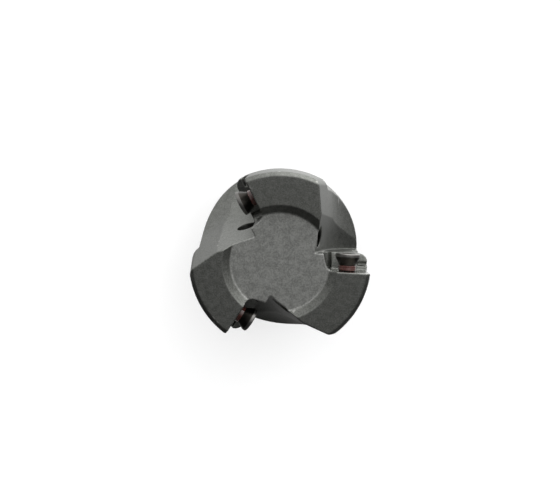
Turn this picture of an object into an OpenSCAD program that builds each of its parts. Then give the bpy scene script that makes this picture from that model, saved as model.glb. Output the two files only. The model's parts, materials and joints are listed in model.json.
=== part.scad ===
// Indexable face mill with three insert seats and an integral Weldon shank.
// The tool axis is +Z, the shank's rear end is at z = 0 and the cutting face looks up.
// Seat 1 faces +Y from the +X side, and the others follow every 120 degrees round the axis.

/* [Head] */
// Diameter over the tooth lands
head_d = 49.4; // [48.8:0.2:50]
// Diameter of the head behind the tooth lands
waist_d = 46; // [45.6:0.2:46.6]
// Length of the head, from the cutting face to the shank
head_len = 40; // [38:0.5:44]
// Length of the tooth lands
land_len = 14.5; // [14:0.5:17]
// Chamfer on the outer front edge
front_chamfer = 1; // [0.4:0.1:1.4]
// Chamfer at the back of the head
rear_chamfer = 1.2; // [0.5:0.1:2]

/* [Front dish] */
// Diameter of the dish at the cutting face
dish_d = 31.2; // [30:0.2:32]
// Depth of the dish, which has a 45 degree rim
dish_depth = 2.1; // [1.5:0.1:2.5]

/* [Shank] */
// Shank diameter
shank_d = 32; // [32:1:32]
// Shank length
shank_len = 60; // [60:1:64]
// Chamfer on the shank's end
shank_chamfer = 1.5; // [0.5:0.1:2]
// Width of each clamping flat along the shank
flat_w = 14; // [14:0.5:15]
// Height from each flat to the far side of the shank
flat_h = 30; // [29.5:0.1:30.5]
// Heights of the flats' centres above the shank's end
flat_z = [17, 36];
// Diameter of the coolant bore along the axis
coolant_bore_d = 8; // [6:0.5:9]

/* [Flute] */
// Distance of the flute's back wall from the axis at its root
wall_x = 9.05; // [8.8:0.05:9.5]
// Lean of the flute's back wall from the seat normal
wall_lean = 8.5; // [7:0.5:10]
// Slope of the back wall from the tool axis, before its run-out
wall_slope = 12; // [11:0.5:13]
// Depth below the cutting face at which the run-out starts
runout_start = 20; // [18:0.5:21]
// Radius of the run-out
runout_r = 28; // [26:1:30]
// Lean of the facet behind the leading tooth, to the other side
facet_lean = 8; // [6:0.5:10]
// Slope of that facet from the tool axis
facet_slope = 9.6; // [9:0.2:11]
// Depth below the cutting face at which the facet's run-out starts
facet_runout_start = 22; // [21.5:0.5:23]
// Radius of the facet's run-out
facet_runout_r = 26; // [25:0.5:26.5]
// Radius of each tooth's trailing corner
trailing_r = 4; // [4:0.25:5.5]

/* [Insert seat] */
// Axial rake of the seat
axial_rake = 4.5; // [3:0.5:5.5]
// Distance of the seat behind the radial plane through the axis
seat_offset = 1.6; // [1.5:0.05:1.9]
// Height of the gullet floor above the seat
floor_h = 4.7; // [4.6:0.1:5]
// Length of the seat from the cutting face to its back wall
seat_len = 13; // [12.8:0.1:13.4]
// Distance from the axis to the seat's inner wall, at the seat
seat_x = 13.04; // [12.8:0.02:13.3]
// Lean of the inner wall
inner_lean = 16; // [12:1:18]
// Lean of the back wall
back_lean = 11; // [7:1:15]
// Fillet between the inner wall and the seat
seat_fillet = 2.2; // [1.5:0.1:2.4]
// Diameter of the relief drilled in the seat's inner corner
corner_relief_d = 2.4; // [2.4:0.1:3.4]
// Height of the groove in the back wall
groove_h = 1.15; // [0.8:0.05:1.3]
// Radius on the outer edge of the gullet floor
floor_edge_r = 2.4; // [1.5:0.1:2.6]

/* [Coolant outlet] */
// Diameter of the coolant hole in each flute
outlet_d = 4.6; // [4:0.1:5]
// Depths of the outlets' centres below the cutting face, in flutes 1 to 3
outlet_depth = [5, 13.5, 5];
// Distances of the outlets' centres from the plane through the axis, along each back wall
outlet_y = [7.2, 4.6, 7.2];
// Depth below the cutting face at which the outlets meet the axis
outlet_meet = 16; // [14:0.5:18]

/* [Clamp screw] */
// Distance from the tool axis to the screw
screw_x = 18.6; // [18.4:0.1:18.8]
// Depth of the screw below the cutting face
screw_depth = 6.6; // [6.4:0.1:6.8]
// Thread diameter
thread_d = 4.96; // [4.9:0.02:4.98]
// Diameter of the thread's core
core_d = 4.5; // [4.3:0.1:4.6]
// Thread pitch
pitch = 0.8; // [0.8:0.1:0.8]
// Head diameter
screw_head_d = 6.8; // [6.6:0.1:7]
// Height of the head's cylindrical rim
rim_h = 0.9; // [0.7:0.05:1.1]
// Height of the countersunk cone
cone_h = 2.3; // [2:0.1:2.5]
// Overall length of the screw
screw_len = 10.8; // [10:0.2:10.8]
// Height of the screw's top above the seat at rest
screw_stand = 4.85; // [4.7:0.05:5]
// Size of the six-lobe socket across its lobes
socket_d = 3.9; // [3.7:0.1:4]
// Depth of the socket
socket_h = 1.8; // [1.5:0.1:2]
// Height of the thread-lock band
band_h = 1.5; // [1.2:0.1:1.6]

/* [Hidden] */
tooth_count = 3;
$fn = 96;

steel = [0.42, 0.43, 0.41];
black_oxide = [0.06, 0.06, 0.06];
thread_lock_red = [0.62, 0.12, 0.10];

front_z = shank_len + head_len;
pitch_angle = 360 / tooth_count;
over = 1;          // how far a cut runs past the surface it opens
reach = 30;        // longer than anything cut from the axis outwards

// The back wall's root is this high above the axis, and the facet starts at this height
root_y = 4.93;
facet_y = 14.22;
facet_x = wall_x + (facet_y - root_y) * tan(wall_lean) - 0.05;

// Trailing corner: its centre keeps the corner's arc close to the facet and to the land
facet_reach = facet_x * cos(facet_lean) + facet_y * sin(facet_lean);
corner_bite = 0.15;         // the corner crosses both surfaces by this much, so it isn't tangent
corner_n = facet_reach - trailing_r + corner_bite;
corner_t = sqrt(pow(head_d / 2 - trailing_r + corner_bite, 2) - pow(corner_n, 2));
corner_x = corner_n * cos(facet_lean) - corner_t * sin(facet_lean);
corner_y = corner_n * sin(facet_lean) + corner_t * cos(facet_lean);
corner_tilt_x = -3.8;
corner_tilt_y = -10.1;

bore_end = front_z - outlet_meet;
hole_d = 5.1;               // tapped hole, drawn at the thread's running clearance
hole_depth = 7.6;
groove_low = 1.2;           // height of the groove's lower edge above the seat
groove_x = 21.8;            // where the groove starts
groove_cut = 1.1;           // how deep it goes into the back wall
neck_y = screw_stand - rim_h - cone_h;    // height of the cone's small end above the seat
band_clear = 0.03;          // gap between the thread-lock band and the screw, all round
band_d = 4.9;

module each_tooth() {
    for (i = [0 : tooth_count - 1]) rotate([0, 0, i * pitch_angle]) children();
}

module at_tooth(number) {
    rotate([0, 0, (number - 1) * pitch_angle]) children();
}

// Frame of the insert seat: its XZ plane lies in the seat, and +Y is the seat's normal
module on_seat() {
    translate([0, 0, front_z]) rotate([-axial_rake, 0, 0]) translate([0, -seat_offset, 0]) children();
}

// Frame of the clamp screw: the origin is where its axis meets the seat, and +Z is its axis
module on_screw() {
    on_seat() translate([screw_x, 0, -screw_depth]) rotate([-90, 0, 0]) children();
}

// Turned blank: head, chamfers and shank
module blank() {
    step = (head_d - waist_d) / 2;
    rotate_extrude() polygon([
        [0, 0],
        [shank_d / 2 - shank_chamfer, 0],
        [shank_d / 2, shank_chamfer],
        [shank_d / 2, shank_len],
        [waist_d / 2 - rear_chamfer, shank_len],
        [waist_d / 2, shank_len + rear_chamfer],
        [waist_d / 2, front_z - land_len - step],
        [head_d / 2, front_z - land_len],
        [head_d / 2, front_z - front_chamfer],
        [head_d / 2 - front_chamfer, front_z],
        [0, front_z],
    ]);
}

// Side view of a flute wall, depth drawn downwards: a sloping line, then the run-out arc
module wall_profile(slope, start, r) {
    run = start * tan(slope);
    above = 4;
    centre = [run + r * cos(slope), -start + r * sin(slope)];
    polygon([
        [-above * tan(slope), above],
        [centre[0], above],
        centre,
        [run, -start],
    ]);
    translate(centre) circle(r = r, $fn = 180);
}

// Space swept behind a flute wall that passes through (x, y) at the cutting face
module wall_cut(x, y, lean, slope, start, r) {
    translate([x, y, front_z]) rotate([0, 0, -lean]) rotate([90, 0, 0])
        linear_extrude(height = 2 * reach, center = true) wall_profile(slope, start, r);
}

// Half-space above the gullet floor
module above_floor() {
    on_seat() translate([0, floor_h, -1.5 * head_len]) cube([2 * reach, reach, 2 * head_len]);
}

module back_wall_cut() {
    intersection() {
        wall_cut(wall_x, root_y, wall_lean, wall_slope, runout_start, runout_r);
        above_floor();
    }
}

module facet_cut() {
    intersection() {
        wall_cut(facet_x, facet_y, -facet_lean, facet_slope, facet_runout_start, facet_runout_r);
        above_floor();
    }
}

// Rounds a tooth's trailing corner, from the facet to the land
module trailing_corner_cut() {
    from = facet_lean;
    to = atan2(corner_y, corner_x);
    middle = (from + to) / 2;
    far = 2.6 * trailing_r;
    translate([corner_x, corner_y, front_z]) rotate([corner_tilt_x, corner_tilt_y, 0])
        translate([0, 0, -head_len]) linear_extrude(height = head_len + 3 * over) difference() {
            polygon([
                [0, 0],
                far * [cos(from), sin(from)],
                1.3 * far * [cos(middle), sin(middle)],
                far * [cos(to), sin(to)],
            ]);
            circle(r = trailing_r);
        }
}

// Front view of the seat: inner wall, fillet and seat, open outwards and upwards
module seat_profile() {
    tangent = seat_fillet * tan((90 - inner_lean) / 2);
    difference() {
        polygon([
            [seat_x, 0],
            [seat_x + reach, 0],
            [seat_x + reach, floor_h + over],
            [seat_x - (floor_h + over) * tan(inner_lean), floor_h + over],
        ]);
        difference() {
            polygon([
                [seat_x, -over],
                [seat_x + tangent, -over],
                [seat_x + tangent, 0],
                [seat_x + tangent, seat_fillet],
                [seat_x - tangent * sin(inner_lean), tangent * cos(inner_lean)],
                [seat_x - over, 0],
            ]);
            translate([seat_x + tangent, seat_fillet]) circle(r = seat_fillet);
        }
    }
}

// Side view of the seat: the back wall leans away from the insert
module back_profile() {
    polygon([
        [-seat_len, 0],
        [reach, 0],
        [reach, floor_h + over],
        [-seat_len - (floor_h + over) * tan(back_lean), floor_h + over],
    ]);
}

module seat_cut() {
    on_seat() {
        intersection() {
            translate([0, 0, -reach]) linear_extrude(height = 2 * reach) seat_profile();
            rotate([0, -90, 0]) mirror([0, 0, 1]) linear_extrude(height = 2 * reach) back_profile();
        }
        // relief drilled in the inner corner, along the seat's normal
        translate([seat_x + 0.1 * corner_relief_d, 0.15, -seat_len - 0.1 * corner_relief_d])
            rotate([-90, 0, 0]) cylinder(d = corner_relief_d, h = floor_h + over);
        // groove in the outer end of the back wall
        translate([groove_x, groove_low, -seat_len - groove_cut - groove_low * tan(back_lean)])
            cube([reach, groove_h, groove_cut + over]);
    }
}

// Rounds the outer edge of the gullet floor behind the seat, and fades out towards the shank
module floor_edge_cut() {
    centre_x = head_d / 2 - floor_edge_r;
    fade = 6;
    on_seat() translate([centre_x, floor_h - floor_edge_r, -seat_len]) rotate([0, fade, 0])
        translate([0, 0, -1.2 * land_len]) linear_extrude(height = 1.2 * land_len + seat_len) difference() {
            square([2 * floor_edge_r, floor_edge_r + 0.3]);
            circle(r = floor_edge_r);
        }
}

module dish_cut() {
    rotate_extrude() polygon([
        [0, front_z - dish_depth],
        [dish_d / 2 - dish_depth, front_z - dish_depth],
        [dish_d / 2 + over, front_z + over],
        [0, front_z + over],
    ]);
}

// Coolant hole from the axis out through the back wall of one flute
module outlet_cut(number) {
    depth = outlet_depth[number - 1];
    y = outlet_y[number - 1];
    x = wall_x + depth * tan(wall_slope) + (y - root_y) * tan(wall_lean);
    across = sqrt(x * x + y * y);
    rise = outlet_meet - depth;
    length = sqrt(across * across + rise * rise) + 4;
    translate([0, 0, bore_end]) rotate([0, 0, atan2(y, x)])
        rotate([0, atan2(across, rise), 0]) cylinder(d = outlet_d, h = length);
}

module screw_hole_cut() {
    mouth = 0.35;
    on_screw() rotate_extrude() polygon([
        [0, -hole_depth - hole_d / 4],
        [hole_d / 2, -hole_depth],
        [hole_d / 2, -mouth],
        [hole_d / 2 + mouth, 0],
        [hole_d / 2 + mouth, 0.1],
        [0, 0.1],
    ]);
}

module shank_cuts() {
    rotate_extrude() polygon([
        [0, -over],
        [coolant_bore_d / 2, -over],
        [coolant_bore_d / 2, bore_end],
        [0, bore_end + coolant_bore_d / 4],
    ]);
    for (z = flat_z)
        translate([flat_h - shank_d / 2, -reach, z - flat_w / 2]) cube([reach, 2 * reach, flat_w]);
}

// The head with its flutes only
module fluted_blank() {
    difference() {
        difference() {
            blank();
            each_tooth() back_wall_cut();
        }
        each_tooth() facet_cut();
    }
}

module cutter_body() {
    color(steel) difference() {
        difference() {
            fluted_blank();
            each_tooth() trailing_corner_cut();
        }
        each_tooth() seat_cut();
        each_tooth() floor_edge_cut();
        for (i = [1 : tooth_count]) at_tooth(i) outlet_cut(i);
        each_tooth() screw_hole_cut();
        dish_cut();
        shank_cuts();
    }
}

// Six-lobe socket: six bumps round a core
module socket_outline() {
    lobe_r = 0.17 * socket_d;
    difference() {
        circle(d = socket_d);
        for (i = [0 : 5]) rotate([0, 0, 60 * i + 30])
            translate([0.5 * socket_d + 0.05, 0]) circle(r = lobe_r);
    }
}

// Countersunk screw with its axis on +Z and its top at screw_stand above the seat
module clamp_screw() {
    edge = 0.2;
    tip = 0.5;
    shank_low = screw_stand - screw_len;
    color(black_oxide) difference() {
        rotate_extrude() polygon([
            [0, shank_low],
            [core_d / 2 - tip / 2, shank_low],
            [thread_d / 2, shank_low + tip],
            [thread_d / 2, neck_y - band_h - 2 * band_clear],
            [core_d / 2, neck_y - band_h - 2 * band_clear],
            [core_d / 2, neck_y],
            [screw_head_d / 2, screw_stand - rim_h],
            [screw_head_d / 2, screw_stand - edge],
            [screw_head_d / 2 - edge, screw_stand],
            [0, screw_stand],
        ]);
        translate([0, 0, screw_stand - socket_h]) linear_extrude(height = socket_h + over) socket_outline();
    }
}

// Ring of cured thread-lock on the screw's first turns
module thread_lock() {
    color(thread_lock_red) translate([0, 0, neck_y - band_h - band_clear]) difference() {
        cylinder(d = band_d, h = band_h);
        translate([0, 0, -over]) cylinder(d = core_d + 2 * band_clear, h = band_h + 2 * over);
    }
}

module clamp_screw_1() { at_tooth(1) on_screw() clamp_screw(); }
module clamp_screw_2() { at_tooth(2) on_screw() clamp_screw(); }
module clamp_screw_3() { at_tooth(3) on_screw() clamp_screw(); }
module thread_lock_1() { at_tooth(1) on_screw() thread_lock(); }
module thread_lock_2() { at_tooth(2) on_screw() thread_lock(); }
module thread_lock_3() { at_tooth(3) on_screw() thread_lock(); }

cutter_body();
clamp_screw_1();
clamp_screw_2();
clamp_screw_3();
thread_lock_1();
thread_lock_2();
thread_lock_3();
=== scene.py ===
import json
import math

import bpy
import numpy as np
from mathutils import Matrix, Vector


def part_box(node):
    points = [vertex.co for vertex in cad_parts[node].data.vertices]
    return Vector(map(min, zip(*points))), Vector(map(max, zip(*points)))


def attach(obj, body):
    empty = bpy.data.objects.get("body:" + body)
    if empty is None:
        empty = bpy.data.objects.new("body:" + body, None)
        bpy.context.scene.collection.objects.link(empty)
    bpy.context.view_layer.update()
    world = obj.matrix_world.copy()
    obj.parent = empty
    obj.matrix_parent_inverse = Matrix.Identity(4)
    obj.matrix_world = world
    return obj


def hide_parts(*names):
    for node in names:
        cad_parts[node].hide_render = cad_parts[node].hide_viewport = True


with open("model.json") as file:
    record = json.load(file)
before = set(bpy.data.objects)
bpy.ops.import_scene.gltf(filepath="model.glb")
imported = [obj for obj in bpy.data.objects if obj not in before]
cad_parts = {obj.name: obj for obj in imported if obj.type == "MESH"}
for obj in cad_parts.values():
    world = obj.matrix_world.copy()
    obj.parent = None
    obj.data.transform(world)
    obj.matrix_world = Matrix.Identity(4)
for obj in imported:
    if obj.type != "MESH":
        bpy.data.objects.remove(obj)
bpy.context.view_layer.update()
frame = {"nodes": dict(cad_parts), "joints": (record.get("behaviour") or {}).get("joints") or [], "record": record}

import openvdb as vdb
from mathutils import Matrix, Vector

MM = 0.001

BODY = "cutter_body"
body_lo, body_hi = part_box(BODY)
front_z = body_hi.z / MM
head_r = round(max(-body_lo.x, body_hi.x, -body_lo.y, body_hi.y) / MM, 1)
mounts = {m["name"]: m for m in frame["record"]["mounts"]}
shoulder_z = mounts["shank_shoulder"]["pos_m"][2] / MM
joints = {j["name"]: j for j in frame["joints"]}
screw_numbers = (1, 2, 3)

# turned sizes of the body that the frame doesn't name, in mm
WAIST_R, LAND_LEN = 23.0, 14.5
FRONT_CHAMFER, REAR_CHAMFER, SHANK_CHAMFER = 1.0, 1.2, 1.5

# sizes of the clamp screw, in mm, in a frame with the seat plane at z = 0
SCREW_STAND, SCREW_LEN, HEAD_R, RIM_H = 4.85, 10.8, 3.4, 0.9
NECK_Z, NECK_R, THREAD_R, PITCH = 1.65, 2.25, 2.47, 0.8


# ---------------------------------------------------------------- meshes from distance fields
def blurred(field, sigma):
    """The field after a Gaussian blur of sigma voxels, which rounds its edges."""
    reach = int(math.ceil(3 * sigma))
    kernel = np.exp(-0.5 * (np.arange(-reach, reach + 1) / sigma) ** 2)
    kernel /= kernel.sum()
    for axis in range(3):
        total = np.zeros_like(field)
        for k, w in enumerate(kernel):
            total += np.float32(w) * np.roll(field, k - reach, axis)
        field = total
    return field


def sampled(field, at):
    """Trilinear samples of the field at grid positions."""
    base = np.clip(np.floor(at).astype(int), 0, np.array(field.shape) - 2)
    t = at - base
    out = np.zeros(len(at))
    for corner in range(8):
        step = np.array([corner & 1, corner >> 1 & 1, corner >> 2 & 1])
        i, j, k = (base + step).T
        out += field[i, j, k] * np.prod(np.where(step, t, 1 - t), axis=1)
    return out


def gradient(field, at):
    """Unit gradient of the field at grid positions."""
    g = np.empty((len(at), 3))
    for axis in range(3):
        step = np.zeros(3)
        step[axis] = 0.6
        g[:, axis] = sampled(field, at + step) - sampled(field, at - step)
    return g / np.maximum(np.linalg.norm(g, axis=1, keepdims=True), 1e-9)


def mesh_object(name, verts, faces):
    me = bpy.data.meshes.new(name)
    me.from_pydata(verts, [], faces)
    me.update()
    ob = bpy.data.objects.new(name, me)
    bpy.context.scene.collection.objects.link(ob)
    return ob


def field_object(name, field, origin, voxel, triangles):
    """Mesh of the field's zero surface in mm, thinned to a triangle count."""
    grid = vdb.FloatGrid(float(field.max()))
    grid.copyFromArray(field)
    points, quads = grid.convertToQuads(isovalue=0.0)
    points = points * voxel + origin
    ob = mesh_object(name, points.tolist(), quads.tolist())
    thin = ob.modifiers.new("thin", "DECIMATE")
    thin.ratio = min(1.0, triangles / (2 * len(quads)))
    dg = bpy.context.evaluated_depsgraph_get()
    me = bpy.data.meshes.new_from_object(ob.evaluated_get(dg))
    me.name = name
    ob.modifiers.clear()
    old, ob.data = ob.data, me
    bpy.data.meshes.remove(old)
    return ob


def coords(me):
    co = np.empty(3 * len(me.vertices))
    me.vertices.foreach_get("co", co)
    return co.reshape(-1, 3)


def smoothstep(a, b, x):
    t = np.clip((x - a) / (b - a), 0, 1)
    return t * t * (3 - 2 * t)


def turned_surfaces():
    """Turned surfaces in mm: radius, from z, to z, and 1 outside the steel or -1 inside it."""
    shank, bore = mounts["shank"]["dims"], mounts["coolant_inlet"]["dims"]
    land_z = front_z - LAND_LEN
    return [
        (head_r, land_z, front_z - FRONT_CHAMFER, 1),
        (WAIST_R, shoulder_z + REAR_CHAMFER, land_z - head_r + WAIST_R, 1),
        (shank["r_mm"], SHANK_CHAMFER, shoulder_z, 1),
        (bore["r_mm"], 0.0, bore["length_mm"], -1),
    ]


def cutter_mesh():
    """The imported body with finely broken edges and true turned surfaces."""
    voxel = 0.2
    cad = frame["nodes"][BODY].data
    cad.calc_loop_triangles()
    tris = np.empty(3 * len(cad.loop_triangles), np.int32)
    cad.loop_triangles.foreach_get("vertices", tris)
    surface = vdb.FloatGrid.createLevelSetFromPolygons(
        (coords(cad) / MM).astype(np.float32),
        triangles=tris.reshape(-1, 3).astype(np.uint32),
        transform=vdb.createLinearTransform(voxelSize=voxel),
        halfWidth=6.0,
    )
    lo, hi = surface.evalActiveVoxelBoundingBox()
    lo = np.array(lo) - 4
    shape = np.array(hi) + 5 - lo
    field = np.empty(shape, np.float32)
    surface.copyToArray(field, ijk=tuple(int(i) for i in lo))
    field = blurred(field, 0.7)
    origin = lo * voxel
    ob = field_object("cutter", field, origin, voxel, 190000)

    co = coords(ob.data)
    normals = gradient(field, (co - origin) / voxel)
    r = np.hypot(co[:, 0], co[:, 1])
    out = np.stack([co[:, 0] / r, co[:, 1] / r, np.zeros_like(r)], axis=1)
    for radius, z0, z1, side in turned_surfaces():
        off = radius - r
        near = 1 - smoothstep(0.03, 0.07, np.abs(off))
        near *= (co[:, 2] > z0) & (co[:, 2] < z1) & (side * np.sum(out * normals, 1) > 0.97)
        co[:, :2] += (near * off)[:, None] * out[:, :2]
        normals += near[:, None] * (side * out - normals)
    normals /= np.linalg.norm(normals, axis=1, keepdims=True)
    co = np.clip(co * MM, np.array(body_lo), np.array(body_hi))
    ob.data.vertices.foreach_set("co", co.ravel())
    ob.data.update()
    ob.data.shade_smooth()
    ob.data.normals_split_custom_set_from_vertices(normals.tolist())
    return ob


# ---------------------------------------------------------------- clamp screw
def screw_mesh():
    """Six-lobe countersunk screw on +Z, its seat plane at z = 0, in mm."""
    rim_low, screw_low = SCREW_STAND - RIM_H, SCREW_STAND - SCREW_LEN
    voxel = 0.075
    pad = 6 * voxel
    lo = np.array([-HEAD_R - pad, -HEAD_R - pad, screw_low - pad])
    hi = np.array([HEAD_R + pad, HEAD_R + pad, SCREW_STAND + pad])
    n = np.ceil((hi - lo) / voxel).astype(int)
    x, y, z = np.meshgrid(*(lo[i] + voxel * np.arange(n[i]) for i in range(3)), indexing="ij")
    r, a = np.hypot(x, y), np.arctan2(y, x)

    slope = math.atan2(HEAD_R - NECK_R, rim_low - NECK_Z)
    cone = (r - NECK_R - (z - NECK_Z) * math.tan(slope)) * math.cos(slope)
    edge = (r + z - HEAD_R - SCREW_STAND + 0.16) * math.sqrt(0.5)
    head = np.maximum.reduce([cone, r - HEAD_R, z - SCREW_STAND, edge, NECK_Z - 0.02 - z])
    # a 60 degree thread with flat crests, which fades into the core under the thread lock
    turn = (z / PITCH - a / (2 * math.pi)) % 1.0
    depth = np.clip(np.abs(turn - 0.5) * 2 * PITCH * 0.866 - 0.06, 0, 0.42)
    depth = depth + (THREAD_R - 2.245 - depth) * smoothstep(NECK_Z - 1.75, NECK_Z - 1.45, z)
    tip = (r - THREAD_R + 0.55 + screw_low - z) * math.sqrt(0.5)
    shank = np.maximum.reduce([(r - THREAD_R + depth) * 0.85, tip, screw_low - z, z - NECK_Z])
    screw = np.minimum(head, shank)
    # six-lobe recess with a drill point
    lobes = 1.95 - 0.36 * (0.5 - 0.5 * np.cos(6 * a)) ** 0.8
    bottom = SCREW_STAND - 1.8
    recess = np.maximum(r - lobes, bottom - 0.3 + 0.15 * r - z)
    lead = (r - 1.98 + (SCREW_STAND - 0.18 - z) * 1.2) * 0.64
    recess = np.minimum(recess, np.maximum(lead, bottom - z))
    field = blurred(np.maximum(screw, -recess).astype(np.float32), 1.0)
    ob = field_object("screw", field, lo, voxel, 36000)
    normals = gradient(field, (coords(ob.data) - lo) / voxel)
    ob.data.transform(Matrix.Scale(MM, 4))
    ob.data.shade_smooth()
    ob.data.normals_split_custom_set_from_vertices(normals.tolist())
    return ob


def thread_lock_mesh(seed):
    """Ring of cured compound that fills the first turns, with an uneven lower edge."""
    inner, outer, low, high = 2.285, 2.445, 0.13, 1.61
    rng = np.random.default_rng(seed)
    around, up = 120, 26
    a = 2 * math.pi * np.arange(around) / around
    wave = sum(rng.uniform(-1, 1) * np.cos(k * a + rng.uniform(0, 6.28)) / k for k in range(2, 9))
    verts, faces = [], []
    for i in range(up + 1):
        t = i / up
        round_off = min(1.0, 4 * t * (1 - t) * 5.0) ** 0.5
        for j in range(around):
            bottom = low + 0.11 + 0.10 * wave[j] / 1.6
            z = bottom + (high - bottom) * t
            turns = 0.5 + 0.5 * math.cos(2 * math.pi * (z / PITCH) - a[j])
            grain = 0.012 * wave[(j * 3 + i * 7) % around]
            r = inner + (outer - inner) * round_off * (0.80 + 0.20 * turns) + grain * round_off * 0.5
            r = min(r, outer)
            verts.append((r * math.cos(a[j]), r * math.sin(a[j]), max(low, min(high, z))))
    for t in (1.0, 0.0):
        for j in range(around):
            z = verts[up * around + j][2] if t else verts[j][2]
            verts.append((inner * math.cos(a[j]), inner * math.sin(a[j]), z))
    rows = up + 3
    for i in range(rows):
        k = (i + 1) % rows
        for j in range(around):
            n = (j + 1) % around
            faces.append((i * around + j, i * around + n, k * around + n, k * around + j))
    ob = mesh_object("lock", verts, faces)
    ob.data.transform(Matrix.Scale(MM, 4))
    ob.data.shade_smooth()
    return ob


def on_screw(joint):
    """Transform from a screw's own frame to the row frame."""
    z = Vector(joint["axis"]).normalized()
    x = Vector((0, 0, 1)).cross(z).normalized() * -1
    y = z.cross(x)
    turn = Matrix((x, y, z)).transposed().to_4x4()
    return Matrix.Translation(Vector(joint["pos_m"])) @ turn


# ---------------------------------------------------------------- materials
class Graph:
    """Short names for the nodes that the materials share."""

    def __init__(self, owner):
        """For a material or a world, whose nodes it switches on."""
        owner.use_nodes = True
        self.owner = owner
        self.tree = owner.node_tree
        self.shader = self.tree.nodes.get("Principled BSDF")

    def node(self, kind, ins=(), **props):
        n = self.tree.nodes.new(kind)
        for key, value in props.items():
            setattr(n, key, value)
        for key, value in dict(ins).items():
            self.put(n.inputs[key], value)
        return n

    def put(self, socket, value):
        if isinstance(value, bpy.types.NodeSocket):
            self.tree.links.new(value, socket)
        else:
            socket.default_value = value

    def math(self, op, a, b=0.0, c=0.0):
        return self.node("ShaderNodeMath", {0: a, 1: b, 2: c}, operation=op).outputs[0]

    def dot(self, a, b):
        return self.node("ShaderNodeVectorMath", {0: a, 1: b}, operation="DOT_PRODUCT").outputs["Value"]

    def where(self, x, a, b):
        """1 where x is past b and 0 before a, with a soft change between."""
        n = self.node("ShaderNodeMapRange", {0: x, 1: a, 2: b, 3: 0.0, 4: 1.0})
        n.interpolation_type = "SMOOTHSTEP"
        n.clamp = True
        return n.outputs[0]

    def spread(self, x, a, b):
        """x from 0..1 to a..b."""
        return self.node("ShaderNodeMapRange", {0: x, 1: 0.0, 2: 1.0, 3: a, 4: b}).outputs[0]

    def noise(self, at, scale, detail=2.0, rough=0.5):
        ins = {"Vector": at, "Scale": scale, "Detail": detail, "Roughness": rough}
        return self.node("ShaderNodeTexNoise", ins).outputs[0]

    def blend(self, t, a, b):
        n = self.node("ShaderNodeMix", data_type="RGBA")
        self.put(n.inputs[0], t)
        self.put(n.inputs[6], a)
        self.put(n.inputs[7], b)
        return n.outputs[2]

    def mix(self, t, a, b):
        n = self.node("ShaderNodeMix", data_type="FLOAT")
        self.put(n.inputs[0], t)
        self.put(n.inputs[2], a)
        self.put(n.inputs[3], b)
        return n.outputs[0]

    def turned(self, at):
        """Distance from the Z axis, and height along it."""
        x, y, z = self.node("ShaderNodeSeparateXYZ", {0: at}).outputs
        flat = self.node("ShaderNodeCombineXYZ", {0: x, 1: y}).outputs[0]
        r = self.node("ShaderNodeVectorMath", {0: flat}, operation="LENGTH")
        return r.outputs["Value"], z

    def bump(self, height, strength, distance):
        ins = {"Height": height, "Strength": strength, "Distance": distance}
        self.put(self.shader.inputs["Normal"], self.node("ShaderNodeBump", ins).outputs[0])


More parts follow.
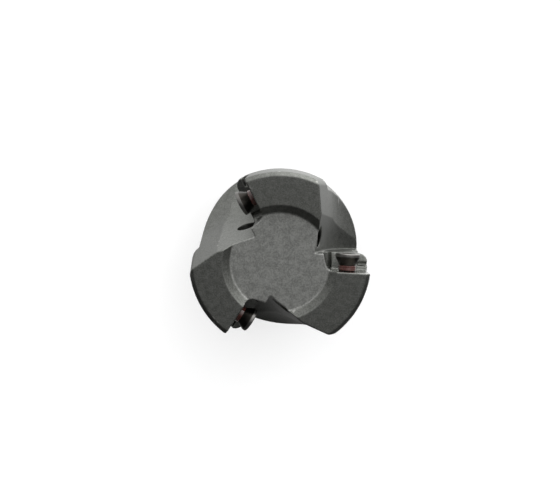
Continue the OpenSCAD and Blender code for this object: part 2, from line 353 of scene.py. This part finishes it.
def steel():
    """Bead-blasted body, with ground seats and shank."""
    g = Graph(bpy.data.materials.new("blasted_steel"))
    at = g.node("ShaderNodeTexCoord").outputs["Object"]
    facing = g.node("ShaderNodeNewGeometry").outputs["Normal"]
    r, z = g.turned(at)

    # each seat lies in the plane through its screw's point, square to the screw
    ground = 0.0
    for i in screw_numbers:
        j = joints[f"screw_{i}_turn"]
        axis, point = Vector(j["axis"]), Vector(j["pos_m"])
        off = g.math("SUBTRACT", g.dot(at, axis), axis.dot(point))
        close = g.math("SUBTRACT", 1.0, g.where(g.math("ABSOLUTE", off), 0.15 * MM, 0.30 * MM))
        level = g.where(g.dot(facing, axis), 0.90, 0.97)
        ground = g.math("ADD", ground, g.math("MULTIPLY", close, level))
    shank_top = (shoulder_z - 0.2) * MM
    on_shank = g.math("SUBTRACT", 1.0, g.where(z, shank_top - 0.2 * MM, shank_top))
    ground = g.math("MINIMUM", g.math("ADD", ground, on_shank), 1.0)

    dish_low = g.where(z, (front_z - 2.4) * MM, (front_z - 2.3) * MM)
    dish = g.math("MULTIPLY", dish_low, g.math("SUBTRACT", 1.0, g.where(r, 13.4 * MM, 14.0 * MM)))

    # painted highlight: broken edges, found by pointiness, are lightened towards pale steel where they would catch
    # the light
    point = g.node("ShaderNodeNewGeometry").outputs["Pointiness"]
    edge_highlight = g.math("MULTIPLY", g.where(point, 0.53, 0.60), g.spread(g.noise(at, 500.0), 0.55, 1.0))

    grain = g.noise(at, 2600.0, 3.0, 0.6)
    speck = g.noise(at, 5200.0, 2.0, 0.5)
    mottle = g.noise(at, 700.0, 4.0, 0.6)
    # pale steel of the ground seats and shank, also used as the colour of the painted edge highlights
    pale_steel = (0.52, 0.52, 0.50, 1)
    shade = g.math("ADD", g.math("MULTIPLY", mottle, 0.4), g.math("MULTIPLY", grain, 0.6))
    shade = g.where(shade, 0.36, 0.64)
    colour = g.blend(shade, (0.15, 0.155, 0.143, 1), (0.245, 0.25, 0.235, 1))
    pale = g.blend(shade, (0.31, 0.315, 0.30, 1), (0.50, 0.505, 0.485, 1))
    colour = g.blend(dish, colour, pale)
    colour = g.blend(g.math("MULTIPLY", ground, 0.9), colour, pale_steel)
    # painted highlight on the broken edges
    colour = g.blend(g.math("MULTIPLY", edge_highlight, 0.8), colour, pale_steel)
    g.put(g.shader.inputs["Base Color"], colour)
    g.shader.inputs["Metallic"].default_value = 1.0

    rough = g.spread(mottle, 0.36, 0.52)
    rough = g.mix(dish, rough, g.spread(mottle, 0.52, 0.68))
    rough = g.mix(ground, rough, g.spread(g.noise(at, 900.0), 0.20, 0.32))
    g.put(g.shader.inputs["Roughness"], rough)

    height = g.math("ADD", g.math("MULTIPLY", grain, 0.65), g.math("MULTIPLY", speck, 0.35))
    soft = g.math("SUBTRACT", 1.0, g.math("MULTIPLY", ground, 0.85))
    height = g.math("MULTIPLY", height, soft)
    g.bump(height, 0.55, 0.06 * MM)
    return g.owner


def oxide():
    """Oiled black oxide, with a painted highlight of paler steel on the head's rim and the edge of its top."""
    g = Graph(bpy.data.materials.new("black_oxide"))
    at = g.node("ShaderNodeTexCoord").outputs["Object"]
    cloud = g.noise(at, 900.0, 3.0, 0.55)
    fine = g.noise(at, 4500.0, 2.0, 0.5)
    r, z = g.turned(at)
    # painted highlight: the head's rim and the edge of its top are lightened towards pale steel where they would
    # catch the light
    rim = g.math("MULTIPLY", g.where(z, 3.7 * MM, 4.1 * MM), g.where(r, 2.9 * MM, 3.3 * MM))
    edge = g.math("MULTIPLY", g.where(r, 3.24 * MM, 3.38 * MM), g.where(z, 4.62 * MM, 4.74 * MM))
    colour = g.blend(cloud, (0.020, 0.018, 0.016, 1), (0.050, 0.046, 0.041, 1))
    rim_highlight = g.blend(cloud, (0.16, 0.155, 0.148, 1), (0.30, 0.293, 0.28, 1))
    # painted highlight on the head's rim
    colour = g.blend(rim, colour, rim_highlight)
    pale_steel = (0.42, 0.41, 0.39, 1)
    # painted highlight on the edge of the head's top
    colour = g.blend(g.math("MULTIPLY", edge, g.spread(cloud, 0.3, 0.9)), colour, pale_steel)
    g.put(g.shader.inputs["Base Color"], colour)
    g.shader.inputs["Metallic"].default_value = 1.0
    g.put(g.shader.inputs["Roughness"], g.spread(cloud, 0.26, 0.42))
    g.bump(fine, 0.35, 0.02 * MM)
    return g.owner


def compound():
    """Cured red thread lock, glossy and slightly cloudy."""
    g = Graph(bpy.data.materials.new("thread_lock_red"))
    at = g.node("ShaderNodeTexCoord").outputs["Object"]
    cloud = g.noise(at, 1600.0, 3.0, 0.55)
    fine = g.noise(at, 6000.0, 2.0, 0.5)
    colour = g.blend(cloud, (0.05, 0.012, 0.009, 1), (0.15, 0.04, 0.03, 1))
    g.put(g.shader.inputs["Base Color"], colour)
    g.put(g.shader.inputs["Roughness"], g.spread(fine, 0.16, 0.34))
    g.shader.inputs["Coat Weight"].default_value = 1.0
    g.shader.inputs["Coat Roughness"].default_value = 0.12
    height = g.math("ADD", g.math("MULTIPLY", cloud, 0.6), g.math("MULTIPLY", fine, 0.4))
    g.bump(height, 0.5, 0.05 * MM)
    return g.owner


def paper():
    """Matt pale floor."""
    g = Graph(bpy.data.materials.new("pale_floor"))
    at = g.node("ShaderNodeTexCoord").outputs["Object"]
    colour = g.blend(g.noise(at, 30.0), (0.90, 0.90, 0.90, 1), (0.92, 0.92, 0.92, 1))
    g.put(g.shader.inputs["Base Color"], colour)
    g.shader.inputs["Roughness"].default_value = 0.9
    return g.owner


# ---------------------------------------------------------------- pieces
cutter = cutter_mesh()
cutter.data.materials.append(steel())
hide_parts(BODY)
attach(cutter, "cutter")

screw_steel, lock_red = oxide(), compound()
first = screw_mesh()
for i in screw_numbers:
    place = on_screw(joints[f"screw_{i}_turn"])
    screw = first
    if i > 1:
        screw = first.copy()
        screw.data = first.data.copy()
        bpy.context.scene.collection.objects.link(screw)
    screw.name = f"screw_{i}"
    screw.matrix_world = place
    lock = thread_lock_mesh(20 + i)
    lock.name = f"thread_lock_ring_{i}"
    lock.matrix_world = place
    for piece, material, node, body, part_slot in (
        (screw, screw_steel, f"clamp_screw_{i}", f"screw_{i}", "black_oxide"),
        (lock, lock_red, f"thread_lock_{i}", f"screw_{i}_travel", "thread_lock"),
    ):
        piece.data.materials.clear()
        piece.data.materials.append(material)
        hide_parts(node)
        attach(piece, body)

# ---------------------------------------------------------------- floor, lights and camera
FLOOR_HALF = 3
corners = [(x * FLOOR_HALF, y * FLOOR_HALF, 0) for x, y in ((-1, -1), (1, -1), (1, 1), (-1, 1))]
floor = mesh_object("floor", corners, [(0, 1, 2, 3)])
floor.location.z = body_lo.z
floor.data.materials.append(paper())
floor.visible_glossy = False

face = Vector((0, 0, body_hi.z))


def overhead(name, at, size, watts):
    """Large soft light for the floor alone, which leaves the steel to its surroundings."""
    data = bpy.data.lights.new(name, "AREA")
    data.size = size
    data.energy = watts
    ob = bpy.data.objects.new(name, data)
    ob.location = at
    ob.rotation_euler = (face - Vector(at)).to_track_quat("-Z", "Y").to_euler()
    ob.visible_glossy = False
    ob.light_linking.receiver_collection = bpy.data.collections.new(name + "_receivers")
    ob.light_linking.receiver_collection.objects.link(floor)
    bpy.context.scene.collection.objects.link(ob)


def studio():
    """Soft surroundings: bright towards +Y, darker at both sides, above and towards -Y."""
    g = Graph(bpy.data.worlds.new("studio"))
    at = g.node("ShaderNodeTexCoord").outputs["Generated"]
    x, y, z = g.node("ShaderNodeSeparateXYZ", {0: at}).outputs
    light = g.spread(g.where(y, -0.40, 0.85), 0.12, 2.6)
    light = g.math("MULTIPLY", light, g.spread(g.where(x, -0.45, 0.20), 0.36, 1.0))
    light = g.math("MULTIPLY", light, g.spread(g.where(x, 0.45, 0.95), 1.0, 0.45))
    light = g.math("MULTIPLY", light, g.spread(g.where(z, 0.1, 1.0), 1.0, 0.62))
    light = g.math("ADD", light, g.spread(g.where(g.math("MULTIPLY", z, -1.0), 0.35, 0.95), 0.0, 0.18))
    backdrop = g.tree.nodes["Background"]
    backdrop.inputs["Color"].default_value = (1, 1, 1, 1)
    g.put(backdrop.inputs["Strength"], light)
    return g.owner


overhead("overhead_softbox", (0, 0.2, 1.6), 2.0, 32.0)
scene = bpy.context.scene
scene.world = studio()
scene.view_settings.view_transform = "Standard"

camera = bpy.data.objects.new("camera", bpy.data.cameras.new("camera"))
camera.data.lens = 77.2
camera.data.sensor_width = 36.0
camera.data.clip_start, camera.data.clip_end = 0.01, 20.0
# the camera's own axes: it looks along -Z at the cutting face, a little from +Y
back = Vector((-0.0074, 0.1321, 0.9912)).normalized()
right = Vector((0.9984, 0.0558, 0.0))
right = (right - back * right.dot(back)).normalized()
aim = Matrix((right, back.cross(right), back)).transposed().to_4x4()
camera.matrix_world = Matrix.Translation(face + Vector((-2.56, 45.83, 321.1)) * MM) @ aim
scene.collection.objects.link(camera)
scene.camera = camera
